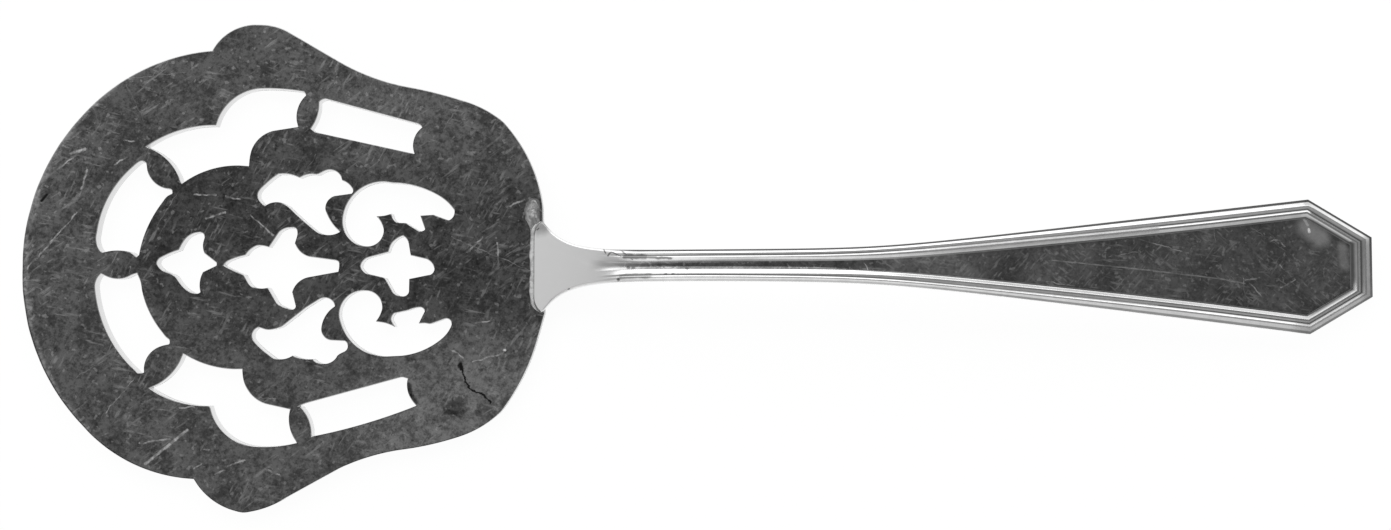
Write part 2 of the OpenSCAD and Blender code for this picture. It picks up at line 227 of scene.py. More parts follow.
# View and light
IMAGE_W, IMAGE_H = 1391, 530
MM_PER_PIXEL = 0.1175
CENTRE_PIXEL = (697.5, 267)
CAMERA_HEIGHT = 185 * MM
CAMERA_BACK = 8 * MM
SENSOR = 36
CLIP = (0.01, 100)
HOOD_LEVEL = 0.3  # radiance of the dark hood overhead
HOOD_CENTRE = (0.12, -0.3)  # its middle and its radii on a plane at height 1
HOOD_RADII = (0.8, 0.95)
HOOD_EDGE = (0.75, 1.2)  # shares of the radii between which it ends
HORIZON_Z = 0.02
SOFTBOX_SIZE = (1.4, 0.46)
SOFTBOX_AT = (0, 0.466, 0.378)
SOFTBOX_RADIANCE = 1.12
FLOOR_REACH = 60
FLOOR_DROP = 0.05 * MM
FLOOR_PALE = 0.9
FLOOR_GLOW = 1.05
FLOOR_WHITE = 0.9  # share of plain white in the floor, the rest shows the shadow


def unit(ways):
    """The vectors at length 1."""
    return ways / np.linalg.norm(ways, axis=-1, keepdims=True)


def part(value, low, high):
    """0 below low, 1 above high and an even rise between."""
    return np.clip((value - low) / (high - low), 0, 1)


def smooth_step(value, low, high):
    """The same with a smooth rise."""
    t = part(value, low, high)
    return t * t * (3 - 2 * t)


def between(first, second, share):
    """The value at a share of the way from the first to the second."""
    return first + (second - first) * share


def band(a, b, n):
    """Faces between two closed rows of n points that start with the numbers a and b."""
    return [(a + i, a + (i + 1) % n, b + (i + 1) % n, b + i) for i in range(n)]


def weld(points, faces):
    """Faces with one number for all the points at a place, without those that shrink to a line."""
    places = np.round(np.asarray(points) / WELD).astype(int)
    _, first, same = np.unique(places, axis=0, return_index=True, return_inverse=True)
    number = first[same.ravel()].tolist()
    merged = [tuple(dict.fromkeys(number[i] for i in face)) for face in faces]
    return [face for face in merged if len(face) > 2]


def place_object(name, data):
    """A new object in the scene."""
    made = bpy.data.objects.new(name, data)
    bpy.context.scene.collection.objects.link(made)
    return made


def make_object(name, points, faces, material, node, sharp_angle, layers):
    """A smooth-shaded piece that stands for a CAD node and rides on the body; points are in mm.

    The layers hold one value per point for the material to read.
    """
    faces = weld(points, faces)
    used = sorted({i for face in faces for i in face})
    number = {old: new for new, old in enumerate(used)}
    mesh = bpy.data.meshes.new(name)
    places = np.asarray(points)[used] * MM
    mesh.from_pydata([tuple(p) for p in places], [], [[number[i] for i in face] for face in faces])
    mesh.validate()
    for layer, values in layers.items():
        stored = mesh.attributes.new(layer, "FLOAT", "POINT")
        stored.data.foreach_set("value", np.asarray(values, np.float32)[used])
    mesh.polygons.foreach_set("use_smooth", [True] * len(mesh.polygons))
    mesh.set_sharp_from_angle(angle=sharp_angle)
    mesh.materials.append(material)
    piece = place_object(name, mesh)
    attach(piece, BODY)
    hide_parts(node)
    return piece


# Blade

def top_outlines(node):
    """Closed outlines of a flat node's upper face, in mm, with the material on their left."""
    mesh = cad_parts[node].data
    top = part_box(node)[1].z
    places = [tuple(round(c / MM / WELD) for c in v.co[:2]) for v in mesh.vertices]
    on_top = [v.co.z > top - WELD * MM for v in mesh.vertices]
    edges = {}
    for face in mesh.polygons:
        ids = list(face.vertices)
        if all(on_top[i] for i in ids):
            edges.update({(places[a], places[b]): None for a, b in zip(ids, ids[1:] + ids[:1])})
    follow = {a: b for a, b in edges if (b, a) not in edges}
    outlines = []
    while follow:
        start = next(iter(follow))
        loop = [start]
        point = follow.pop(start)
        while point != start:
            loop.append(point)
            point = follow.pop(point)
        outlines.append(np.array(loop, float) * WELD)
    return outlines


def smooth_outline(points):
    """The same closed outline in short steps, rounded everywhere but at its corners."""
    ahead = np.roll(points, -1, 0) - points
    length = np.linalg.norm(ahead, axis=1)
    out_way = ahead / length[:, None]
    in_way = np.roll(out_way, 1, 0)
    turn = np.arccos(np.clip(np.sum(out_way * in_way, axis=1), -1, 1))
    share = (length / (length + np.roll(length, 1)))[:, None]
    through = unit(in_way * share + out_way * (1 - share))
    straight = (length > STRAIGHT_FROM)[:, None]
    was_straight = np.roll(straight, 1, 0)
    through = np.where(straight, out_way, np.where(was_straight, in_way, through))
    corner = (turn > CORNER_TURN)[:, None] | (straight & was_straight)
    leave = np.where(corner, out_way, through)
    arrive = np.where(corner, in_way, through)
    smooth = []
    for i, p in enumerate(points):
        j = (i + 1) % len(points)
        for t in np.arange(0, 1, 1 / math.ceil(length[i] / OUTLINE_STEP)):
            smooth.append(
                (2 * t**3 - 3 * t**2 + 1) * p + (3 * t**2 - 2 * t**3) * points[j]
                + length[i] * ((t**3 - 2 * t**2 + t) * leave[i] + (t**3 - t**2) * arrive[j])
            )
    return np.array(smooth)


def move_left(points, distances):
    """A closed outline moved to its left, by a distance for each point."""
    way = unit(np.roll(points, -1, 0) - points)
    left = np.stack([-way[:, 1], way[:, 0]], 1)
    before = np.roll(left, 1, 0)
    spread = np.maximum(1 + np.sum(left * before, axis=1), MITRE_LIMIT)
    return points + (left + before) * (distances / spread)[:, None]


def outward(points):
    """Way out of the material at each point of a closed outline."""
    way = unit(np.roll(points, -1, 0) - np.roll(points, 1, 0))
    return np.stack([way[:, 1], -way[:, 0]], 1)


def clearance(points, outline):
    """Least distance of each point from a closed outline."""
    along = np.roll(outline, -1, 0) - outline
    apart = points[:, None] - outline
    share = np.clip(np.sum(apart * along, axis=2) / np.sum(along**2, axis=1), 0, 1)
    return np.linalg.norm(apart - share[..., None] * along, axis=2).min(axis=1)


def inset(outline, distances):
    """A closed outline moved into the material; where it would cross itself it draws to a point."""
    ring = move_left(outline, distances)
    lost = clearance(ring, outline) < distances * KEEP_CLEAR
    n = len(ring)
    for start in np.flatnonzero(lost & ~np.roll(lost, 1)):
        run = 1
        while lost[(start + run) % n]:
            run += 1
        point = (ring[start - 1] + ring[(start + run) % n]) / 2
        ring[(start + np.arange(run)) % n] = point
    return ring


def crossings(points, ring):
    """How often a ray from each point towards +X crosses a closed ring."""
    x, y = points[:, :1], points[:, 1:]
    (ax, ay), (bx, by) = ring.T, np.roll(ring, -1, 0).T
    beside = (ay > y) != (by > y)
    level = np.where(ay == by, 1, by - ay)
    return np.sum(beside & (x < ax + (bx - ax) * (y - ay) / level), axis=1)


def fill(rings, numbers):
    """Triangles over the sheet between closed rings, in the numbers that their points have."""
    flat = [Vector(p) for ring in rings for p in ring]
    edges = []
    for ring in rings:
        first = len(edges)
        edges += [(first + i, first + (i + 1) % len(ring)) for i in range(len(ring))]
    made = delaunay_2d_cdt(flat, edges, [], 1, WELD)
    places = np.array([tuple(p) for p in made[0]])
    middles = np.array([places[list(face)].mean(axis=0) for face in made[2]])
    in_sheet = sum(crossings(middles, ring) for ring in rings) % 2 == 1
    known = [numbers[same[0]] for same in made[3]]
    return [tuple(known[i] for i in face) for face, kept in zip(made[2], in_sheet) if kept]


def blade(material):
    """The pierced sheet, with its outlines from the CAD sheet, rounded edges and a worn front."""
    low, high = (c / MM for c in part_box("blade"))
    quarter = np.radians(np.linspace(0, 90, ARRIS_STEPS + 1))
    points, wear_and_shadow, faces = [], [], []
    rings, top_numbers, under_rings, under_numbers = [], [], [], []
    outlines = sorted(map(smooth_outline, top_outlines("blade")), key=lambda p: -np.ptp(p[:, 0]))
    for number, outline in enumerate(outlines):
        rim = number == 0
        radius = RIM_ARRIS if rim else OPENING_ARRIS
        n = len(outline)
        flat = np.zeros(n)
        worn = 1 - smooth_step(outline[:, 0] - low.x, 0, FRONT_WEAR_LEN) if rim else flat
        uneven = [noise.noise(Vector((x, y, 0)) * FACET_WAVES) for x, y in outline]
        facet_w = FACET_W * worn * (1 + FACET_UNEVEN * np.array(uneven))
        facet_h = facet_w * worn * FACET_SLOPE / 2
        bright = flat + (RIM_WEAR if rim else 1)
        # edges that face the shadow side get painted shadow, kept as negative values beside the wear
        shadowed = smooth_step(outward(outline) @ (RIM_SHADOW_SIDE if rim else SHADOW_SIDE), *SHADOW_TURN)
        edge = bright - (bright + 1) * shadowed
        top = high.z - facet_h
        rows = [(radius + GUARD, low.z + flat, flat)]
        for a in quarter:
            rows.append((radius * (1 - np.sin(a)), low.z + radius * (1 - np.cos(a)) + flat, bright))
        rows.append((0, top - WEAR_DEPTH * radius, bright))
        rows += [(radius * (1 - np.cos(a)), top - radius * (1 - np.sin(a)), edge) for a in quarter]
        for share in np.linspace(0, 1, FACET_STEPS + 1)[1:]:
            rows.append((radius + GUARD + facet_w * share, high.z - facet_h * (1 - share) ** 2, flat))
        first = len(points)
        for row, (distance, z, shine) in enumerate(rows):
            ring = inset(outline, np.broadcast_to(distance, n))
            points += [(x, y, height) for (x, y), height in zip(ring, z)]
            wear_and_shadow += list(shine)
            if row == 0:
                under_rings.append(ring)
            else:
                faces += band(first + (row - 1) * n, first + row * n, n)
        rings.append(ring)
        under_numbers += range(first, first + n)
        top_numbers += range(len(points) - n, len(points))
    faces += fill(rings, top_numbers)
    faces += [face[::-1] for face in fill(under_rings, under_numbers)]
    layers = {"wear_and_shadow": wear_and_shadow}
    piece = make_object("pierced_blade", points, faces, material, "blade", BLADE_SHARP, layers)


# Handle

HANDLE_LOW, HANDLE_HIGH = (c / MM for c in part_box("handle"))
TOE_X = HANDLE_LOW.x
HANDLE_LEN = HANDLE_HIGH.x - TOE_X
TIP_W = HANDLE_HIGH.y - HANDLE_LOW.y
WIDEST_AT = HANDLE_LEN - TIP_SLANT
BLADE_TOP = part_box("blade")[1].z / MM
LAP_Z = BLADE_TOP + SOLDER_T
CREST_Z = LAP_Z + TOE_T + HEEL_SLOPE * CREST_AT / 2


def bend(u):
    return (u - FLARE_START) + np.hypot(u - FLARE_START, FLARE_SOFT)


def half_width(u):
    """Half the width of the handle at the distance u from its toe, up to the widest point."""
    stem = between(NECK_W, TIP_W, bend(u) / bend(WIDEST_AT)) / 2
    flare = stem + (HEEL_W - NECK_W) / 2 * np.exp((HEEL_PEAK - u) / HEEL_FLARE)
    across = np.sqrt(np.maximum(HEEL_CORNER_R**2 - (HEEL_CORNER_R - u) ** 2, 0))
    corner = HEEL_W / 2 - HEEL_CORNER_R + across
    return np.where(u < HEEL_CORNER_R, np.minimum(flare, corner), flare)


def top_height(u):
    """Height of the handle's reeds at the distance u."""
    rise = CREST_Z - HEEL_SLOPE / (2 * CREST_AT) * (CREST_AT - u) ** 2
    fall = CREST_Z - (CREST_Z - TIP_T) * ((u - CREST_AT) / (HANDLE_LEN - CREST_AT)) ** 2
    return np.where(u < CREST_AT, rise, fall)


def under_height(u):
    """Height of the handle's underside."""
    thick = between(NECK_T, TIP_T, u / HANDLE_LEN)
    free = np.maximum(np.where(u < CREST_AT, LAP_Z, 0), top_height(u) - thick)
    return np.where(u <= LAP_LEN, LAP_Z, free)


def reed_rise(u):
    """Share of the border's depth that is there at the distance u."""
    return smooth_step(u, REED_START, REED_FULL)


def border_depth(distance):
    """Depth of the border's worn profile at a distance from the edge."""
    shifts = np.linspace(-REED_ROUND, REED_ROUND, 5)
    return np.mean([np.interp(distance + s, BORDER[:, 0], BORDER[:, 1]) for s in shifts], axis=0)


def outer_share(u):
    """Share of its full width that the border has between the edge and the groove."""
    return between(STEM_GROOVE_AT, GROOVE_AT, smooth_step(u, *GROOVE_GROWS)) / GROOVE_AT


def inner_share(u):
    """Share of its full width that the border has between the groove and the panel."""
    whole = between(STEM_BORDER_W, BORDER_W, smooth_step(u, *BORDER_GROWS))
    return (whole - GROOVE_AT * outer_share(u)) / (BORDER_W - GROOVE_AT)


def from_edge(distance, u):
    """Where a line of the full border lies at the distance u from the toe, from the edge."""
    onto_crest = part(distance, *CREST)
    off_crest = part(distance, CREST[1], BORDER_W)
    narrow = CREST_SHRINK * (1 - smooth_step(u, *CREST_GROWS))
    distance = distance - narrow * (onto_crest - off_crest)
    outer = np.minimum(distance, GROOVE_AT) * outer_share(u)
    return outer + np.maximum(distance - GROOVE_AT, 0) * inner_share(u)


def below_reed(distance, u):
    """How deep that line lies below the outer reed; both parts of the border keep their slopes."""
    at_foot = part(distance, BORDER[-2, 0], BORDER_W)
    depth = border_depth(distance) + STEM_FOOT * at_foot * (1 - smooth_step(u, *CREST_GROWS))
    groove = border_depth(GROOVE_AT)
    inner = groove * outer_share(u) + (depth - groove) * inner_share(u)
    return reed_rise(u) * (depth * outer_share(u) if distance < GROOVE_AT else inner)


SIDE_SLOPE = float(half_width(WIDEST_AT) - half_width(WIDEST_AT - 1))
SIDE_IN = unit(np.array((SIDE_SLOPE, -1)))
SLANT_IN = unit(np.array((-(TIP_W - END_W) / 2, -TIP_SLANT)))
WIDE_CORNER_IN = (SIDE_IN + SLANT_IN) / (1 + SIDE_IN @ SLANT_IN)
END_CORNER_IN = np.array((-END_BORDER, (1 + END_BORDER * SLANT_IN[0]) / SLANT_IN[1]))
COMMON_LEN = WIDEST_AT - FAN_LEN


def side_stations():
    """Distances from the toe at which the sides of the handle are worked out."""
    corner = HEEL_CORNER_R * (1 - np.cos(np.radians(np.arange(0, 90, 9))))
    return np.concatenate([
        corner,
        np.arange(HEEL_CORNER_R, REED_FULL, 0.3),
        np.arange(REED_FULL, CREST_AT, 0.6),
        np.arange(CREST_AT, COMMON_LEN, 0.9),
        np.linspace(COMMON_LEN, WIDEST_AT, 9),
    ])


SIDE_U = side_stations()
SLANT_SHARES = np.linspace(0, 1, 11)[1:, None]


def side_line(distances):
    """Plan of a line beside the upper edge, from the toe to the end, by a distance for each point."""
    distances = np.broadcast_to(distances, len(SIDE_U) + len(SLANT_SHARES))[:, None]
    corner = (WIDEST_AT, TIP_W / 2) + WIDE_CORNER_IN * distances
    end = (HANDLE_LEN, END_W / 2) + END_CORNER_IN * distances
    sides = slice(0, len(SIDE_U))
    slants = slice(len(SIDE_U), None)
    late = np.maximum(SIDE_U - COMMON_LEN, 0) * (corner[sides, 0] - COMMON_LEN) / FAN_LEN
    x = np.minimum(SIDE_U, COMMON_LEN) + late
    near = 1e-3
    slope = np.where(x < HEEL_CORNER_R, 0, (half_width(x) - half_width(x - near)) / near)
    inward = from_edge(distances[sides, 0], x) * np.sqrt(1 + np.minimum(slope, 1) ** 2)
    side = np.stack([x, half_width(x) - inward], 1)
    side[-1] = corner[len(SIDE_U) - 1]
    slant = corner[slants] * (1 - SLANT_SHARES) + end[slants] * SLANT_SHARES
    return np.concatenate([side, slant])


def heel_depth(u, distance):
    """How far the worn edge of the plain heel drops at a distance from its side."""
    radius = np.minimum(HEEL_ARRIS, HEEL_ARRIS_MOST * (top_height(u) - under_height(u)))
    inside = np.clip(radius - distance, 0, radius)
    return radius - np.sqrt(radius**2 - inside**2)


def both_sides(line):
    """An upper line and its mirror image as one line round the tip."""
    return np.concatenate([line, line[::-1] * (1, -1, 1)])


def panel_height(u, share=1):
    """Height of the panel at a share of its half width."""
    dish = STEM_DISH * smooth_step(u, *DISH_STARTS) * (1 - smooth_step(u, *DISH_ENDS))
    return top_height(u) - below_reed(BORDER_W, u) - dish * (1 - share**2)


def border_dirt_and_shade(distance, u):
    """Shares of dirt, and of painted shade along the outer edge, on a line of the border, on its upper
    and its lower side.
    """
    groove, crest, foot, bevel = (
        share * math.exp(-((distance - middle) / soft) ** 2)
        for middle, soft, share in (GROOVE_DIRT, CREST_DIRT, FOOT_DIRT, BEVEL_DIRT)
    )
    late = smooth_step(u, *DIRT_GROWS)
    slant = smooth_step(u - WIDEST_AT, *BEVEL_GROWS)
    inner = np.maximum(groove, np.maximum(max(crest, foot) * late, bevel * slant))
    line = between(*EDGE_SHADE, smooth_step(u, *GROOVE_GROWS))
    # painted shade along the outer edge, weaker on the lower side
    edge = smooth_step(from_edge(distance, u) - line, EDGE_SOFT, -EDGE_SOFT)
    lower_shade = edge * between(*LOWER_EDGE_SHADE, late)
    return [reed_rise(u) * np.maximum(side, inner) for side in (edge, lower_shade)]


def handle(material):
    """The struck bar: plain heel, reeded stem and panelled tip."""
    panel_edge = side_line(BORDER_W + GUARD)
    lines = [np.column_stack([panel_edge, panel_height(panel_edge[:, 0])])]
    dirt_and_shade = [border_dirt_and_shade(BORDER_W + GUARD, panel_edge[:, 0])]
    for distance in np.linspace(BORDER_W, 0, BORDER_LINES):
        plan = side_line(distance)
        u = plan[:, 0]
        plain = (1 - reed_rise(u)) * heel_depth(u, from_edge(distance, u))
        lines.append(np.column_stack([plan, top_height(u) - below_reed(distance, u) - plain]))
        dirt_and_shade.append(border_dirt_and_shade(distance, u))
    edge = lines[-1]
    u = edge[:, 0]
    under = under_height(u)
    wall = edge[:, 2] - under
    lines.append(edge - np.outer(WALL_SHADE * wall, (0, 0, 1)))
    radius = np.minimum(UNDER_ARRIS, UNDER_ARRIS_MOST * wall)
    for a in np.radians(np.linspace(0, 90, ARRIS_STEPS + 1)):
        plan = side_line(radius / outer_share(u) * (1 - np.cos(a)))
        lines.append(np.column_stack([plan, under + radius * (1 - np.sin(a))]))
    lines.append(np.column_stack([side_line((radius + GUARD) / outer_share(u)), under]))
    dirt_and_shade += [np.zeros((2, len(u)))] * (len(lines) - len(dirt_and_shade))

    half = len(u)
    n = 2 * half
    points = [both_sides(line) for line in lines]
    faces = []
    for row in range(len(lines) - 1):
        a = row * n
        b = a + n
        faces += [(a + j, a + j + 1, b + j + 1, b + j) for j in range(n - 1) if row or j != half - 1]
    last = (len(lines) - 1) * n
    faces += [(last + i, last + i + 1, last + n - 2 - i, last + n - 1 - i) for i in range(half - 1)]

    # The panel between the two sides of its border, in strips along the handle
    first = len(lines) * n
    shares = np.linspace(1, -1, PANEL_STRIPS + 1)[1:-1]
    across = []
    for i, (x, y) in enumerate(panel_edge):
        start = first + i * len(shares)
        across.append([i, *range(start, start + len(shares)), n - 1 - i])
        points.append(np.column_stack([np.full(len(shares), x), y * shares, panel_height(x, shares)]))
    for here, there in zip(across, across[1:]):
        faces += [(here[k], here[k + 1], there[k + 1], there[k]) for k in range(PANEL_STRIPS)]
    faces.append((n + half, n + half - 1, *across[-1]))
    rows = [row * n for row in range(len(lines))]
    faces.append((*across[0][::-1], *rows[1:], *[row + n - 1 for row in rows[:0:-1]]))

    inside = half * len(shares)
    layers = {
        "dirt_and_shade": np.concatenate([side for d in dirt_and_shade for side in (d[0], d[1][::-1])] + [np.zeros(inside)]),
        "panel": np.concatenate([np.ones(n), np.zeros(len(lines) * n - n), np.ones(inside)]),
    }
    points = np.concatenate(points) + (TOE_X, 0, 0)
    piece = make_object("reeded_handle", points, faces, material, "handle", HANDLE_SHARP, layers)


# Solder

def toe_outline():
    """Plan of the heel's toe from its upper side round to its lower side."""
    turn = math.acos(1 - FILLET_REACH / HEEL_CORNER_R)
    u = HEEL_CORNER_R * (1 - np.cos(np.linspace(turn, 0, 14)))
    upper = np.stack([u, half_width(u)], 1)
    y = np.linspace(upper[-1, 1], 0, 14)[1:]
    upper = np.concatenate([upper, np.stack([0 * y, y], 1)])
    return np.concatenate([upper, upper[-2::-1] * (1, -1)])


def toe_fillet():
    """Points, faces and grime of the concave fillet along the toe, with painted shade in the crease
    against the toe.
    """
    plan = toe_outline()
    way = unit(np.gradient(plan, axis=0))
    out = np.stack([way[:, 1], -way[:, 0]], 1)
    along = np.concatenate([[0], np.cumsum(np.linalg.norm(np.diff(plan, axis=0), axis=1))])
    ends = smooth_step(np.minimum(along, along[-1] - along), -FILLET_BLUNT, FILLET_TAPER)
    waves = sum(share * np.sin(rate * along + start) for share, rate, start in FILLET_WAVES)
    width = FILLET_W * ends * (1 + waves)
    rows = [(-FILLET_BACK, 0), (-FILLET_BACK, FILLET_H)]
    rows += [(share, FILLET_H * (1 - share) ** 2) for share in np.linspace(0, 1, FILLET_STEPS + 1)]
    points, grime_and_shade = [], []
    for share, rise in rows:
        spot = plan + out * (width * share)[:, None]
        points.append(np.column_stack([spot + (TOE_X, 0), np.full(len(plan), BLADE_TOP + rise)]))
        border = min(abs(share), abs(1 - share)) * FILLET_W
        cover = smooth_step(plan[:, 1], *DULL_FROM)
        grime_and_shade.append(max(0, 1 - border / GRIME_W) * (1 - cover) + FILLET_DULL * cover)
    n = len(plan)
    faces = []
    for row in range(len(rows)):
        a = row * n
        b = (row + 1) % len(rows) * n
        faces += [(a + i, b + i, b + i + 1, a + i + 1) for i in range(n - 1)]
    faces.append(tuple(row * n for row in range(len(rows)))[::-1])
    faces.append(tuple(row * n + n - 1 for row in range(len(rows))))
    return np.concatenate(points), faces, np.concatenate(grime_and_shade)


def run_out_lump():
    """Points, faces and grime of the low smear of solder at the upper corner of the heel."""
    centre = np.array((TOE_X + LUMP_AT[0], LUMP_AT[1], BLADE_TOP))
    points, grime_and_shade = [], []
    for tier in range(LUMP_TIERS):
        away = 1 - tier / LUMP_TIERS
        for turn in np.radians(np.arange(LUMP_SIDES) * 360 / LUMP_SIDES):
            way = Vector((math.cos(turn), math.sin(turn), 0)) * away
            ragged = 1 + LUMP_UNEVEN * noise.noise(way * 2.3)
            rough = 1 + LUMP_ROUGH * noise.noise(way * 2.1 + Vector((7, 3, 0)))
            height = LUMP_SIZE[2] * (1 - away**2) ** 2 * rough
            reach = min(LUMP_SIZE[0] * ragged * way.x, LUMP_END * away - LUMP_AT[0] * away)
            points.append(centre + (reach, LUMP_SIZE[1] * ragged * way.y, height))
            hazy = away + LUMP_UNEVEN * noise.noise(way * 4)
            dirty = LUMP_GRIME * (1 - LUMP_CLEAN * smooth_step(-way.y, 0.1, 0.8))
            grime_and_shade.append(dirty * max(smooth_step(hazy, 0, 0.95), smooth_step(away, 0.7, 1)))
    points.append(centre + (0, 0, LUMP_SIZE[2]))
    grime_and_shade.append(0)
    faces = [tuple(range(LUMP_SIDES))[::-1]]
    for tier in range(LUMP_TIERS - 1):
        faces += band(tier * LUMP_SIDES, (tier + 1) * LUMP_SIDES, LUMP_SIDES)
    top = len(points) - 1
    last = top - LUMP_SIDES
    faces += [(last + i, last + (i + 1) % LUMP_SIDES, top) for i in range(LUMP_SIDES)]
    return np.array(points), faces, np.array(grime_and_shade)


def seam_layer():
    """Points, faces and grime of the thin layer between the heel and the tongue."""
    plan = side_line(SEAM_INSET / outer_share(0))
    plan = plan[plan[:, 0] <= LAP_LEN] + (TOE_X, 0)
    plan = np.concatenate([plan, plan[::-1] * (1, -1)])
    n = len(plan)
    points = np.concatenate([np.column_stack([plan, np.full(n, z)]) for z in (BLADE_TOP, LAP_Z)])
    faces = [*band(n, 0, n), tuple(range(n)), tuple(range(n, 2 * n))[::-1]]
    return points, faces, np.ones(2 * n)


def solder_seam(material):
    """The solder that holds the blade under the heel."""
    points, faces, grime_and_shade = [], [], []
    for some_points, some_faces, some_grime in (toe_fillet(), run_out_lump(), seam_layer()):
        first = len(points)
        points += [tuple(p) for p in some_points]
        faces += [tuple(first + i for i in face) for face in some_faces]
        grime_and_shade += list(some_grime)
    layers = {"grime_and_shade": grime_and_shade}
    piece = make_object("solder_seam_run", points, faces, material, "solder_seam", SOLDER_SHARP, layers)


# Materials

FLOAT, VECTOR = "NodeSocketFloat", "NodeSocketVector"
HEEL_CLEAN_X = (TOE_X + 6, TOE_X + 15)  # the clean silver of the heel ends between these places
BRIGHTER_X = (-72, -36)  # the blade's silver brightens between these places,
BLADE_TARNISH_AND_SHADE = (0.34, 0.367)  # from the first level to the second; both levels are tarnish and painted shade for the dark reflection from overhead
# the panel's dark silver: tarnish, and painted shade for the dark reflection from overhead
PANEL_TARNISH_AND_SHADE = (0.19, 0.272)
REED_SILVER = 0.95
HEEL_SILVER = 0.86
SOLDER_SILVER = (0.55, 0.85)
WORN_EDGE = 0.7
BLADE_SCRATCHED = 0.85  # brightness of scratches
PANEL_SCRATCHED = 0.9
BLADE_BLACK = 0.03  # brightness of the crack and of the painted shadow on edges
REED_BLACK = 0.08  # brightness of dirt and of the painted shade along the handle's edges
# brightness of the solder's grime, its dark joint and the painted shade in its crease
SOLDER_BLACK = 0.14
BLADE_POLISH = 0.13  # roughness of each finish
HANDLE_POLISH = 0.14
SATIN = 0.45
SCRATCHED_ROUGH = 0.65
DENT_ROUGH = 0.95
SOLDER_ROUGH = (0.4, 0.55)
GRIME_ROUGH = 0.13
SILVER_RELIEF = 0.004  # depth of the unevenness of each finish, in mm
SOLDER_RELIEF = 0.03
# Nets of random scratches as cells per mm, width and share of cells
BLADE_NETS = [(0.07, 0.1, 0.4), (0.18, 0.09, 0.35)]
PANEL_NETS = [(0.12, 0.09, 0.5), (0.3, 0.08, 0.4)]
# Worn streaks as angle, length and width, and how far they go from tarnish to bright scratches
BLADE_STREAKS = [(35, 3, 0.42), (62, 2, 0.38), (-12, 2.4, 0.4)]
BLADE_STREAK_LIGHT = 0.3
PANEL_STREAKS = [(-8, 3, 0.3), (-40, 2, 0.3), (48, 1.6, 0.28)]
PANEL_STREAK_LIGHT = 0.24


def add(kind, inputs, tree=None, **settings):
    """A shader node with its settings made and its inputs set, or linked where a socket is given.

    Without a tree it goes into the tree of those sockets.
    """
    linked = {key: value for key, value in inputs.items() if isinstance(value, bpy.types.NodeSocket)}
    tree = tree or next(iter(linked.values())).id_data
    made = tree.nodes.new("ShaderNode" + kind)
    for key, value in settings.items():
        setattr(made, key, value)
    for key, value in inputs.items():
        if key in linked:
            tree.links.new(value, made.inputs[key])
        else:
            made.inputs[key].default_value = value
    return made


def source(tree, kind, **settings):
    """The outputs of a shader node that has no inputs."""
    return add(kind, {}, tree, **settings).outputs


def calc(operation, *values, clamp=False):
    """The result of one sum on values or sockets."""
    sockets = dict(enumerate(values))
    return add("Math", sockets, operation=operation, use_clamp=clamp).outputs[0]


def times(first, second):
    return calc("MULTIPLY", first, second)


def most(first, *others):
    """The largest of several values."""
    for other in others:
        first = calc("MAXIMUM", first, other)
    return first


def changed(value, share, change):
    """The value, raised or lowered by the share of a change."""
    return times(value, calc("MULTIPLY_ADD", share, change, 1))


def vectors(operation, *values, output="Vector"):
    """The result of one sum on vectors."""
    sockets = dict(enumerate(values))
    return add("VectorMath", sockets, operation=operation).outputs[output]


def axis(vector, name):
    """One coordinate of a vector."""
    return add("SeparateXYZ", {0: vector}).outputs[name]


def combine(x, y, z=0):
    """A vector from its coordinates."""
    return add("CombineXYZ", {0: x, 1: y, 2: z}).outputs[0]


def ramp(value, low, high, start=0, end=1):
    """A smooth change from start to end while the value goes from low to high."""
    sockets = {"Value": value, "From Min": low, "From Max": high, "To Min": start, "To Max": end}
    return add("MapRange", sockets, interpolation_type="SMOOTHSTEP").outputs[0]


def blend(share, first, second):
    """A value between the first and the second."""
    return add("Mix", {"Factor": share, "A": first, "B": second}).outputs[0]


def clouds(point, scale, detail, roughness=0.5):
    """Soft noise with its blotches about 1 / scale mm wide."""
    sockets = {"Vector": point, "Scale": scale, "Detail": detail, "Roughness": roughness}
    return add("TexNoise", sockets).outputs[0]


def wavering(point, scale, reach):
    """The point moved at random, so that a straight mark becomes a hand-drawn one."""
    sockets = {"Vector": point, "Scale": scale, "Detail": 2}
    drift = add("TexNoise", sockets, noise_dimensions="2D").outputs["Color"]
    moved = vectors("SUBTRACT", drift, (0.5, 0.5, 0.5))
    return vectors("MULTIPLY_ADD", moved, (reach, reach, 0), point)


def new_group(name, inputs, output):
    """A node group with a point as its first input: its tree, its inputs and its output."""
    tree = bpy.data.node_groups.new(name, "ShaderNodeTree")
    for label, kind in {"Point": VECTOR, **inputs}.items():
        tree.interface.new_socket(label, in_out="INPUT", socket_type=kind)
    tree.interface.new_socket(output, in_out="OUTPUT", socket_type=FLOAT)
    given = tree.nodes.new("NodeGroupInput").outputs
    result = tree.nodes.new("NodeGroupOutput").inputs[output]
    return tree, given, result


def use(group, *values):
    """The value of a node group for its inputs in their order."""
    return add("Group", dict(enumerate(values)), node_tree=group).outputs[0]


def tarnish_group():
    """Tarnish from fine grain to broad clouds: 0 is clean and 1 is dark."""
    tree, given, result = new_group("tarnish_mottle", {}, "Tarnish")
    grain = clouds(given["Point"], 2.1, 4, 0.75)
    blotch = clouds(given["Point"], 0.35, 6, 0.72)
    tree.links.new(ramp(blend(0.5, grain, blotch), 0.4, 0.6), result)
    return tree


def streak_group():
    """Short streaks that lean one way, in clusters, from noise drawn out along them."""
    inputs = {"Angle": FLOAT, "Length": FLOAT, "Width": FLOAT}
    tree, given, result = new_group("worn_streaks", inputs, "Streak")
    sockets = {"Vector": given["Point"], "Angle": times(given["Angle"], -1)}
    turned = add("VectorRotate", sockets, rotation_type="Z_AXIS").outputs[0]
    size = combine(given["Length"], given["Width"], given["Width"])
    drawn = vectors("DIVIDE", turned, size)
    streak = ramp(clouds(drawn, 1, 2), 0.55, 0.68)
    cluster = ramp(clouds(turned, 0.25, 3, 0.6), 0.46, 0.64)
    tree.links.new(times(streak, cluster), result)
    return tree


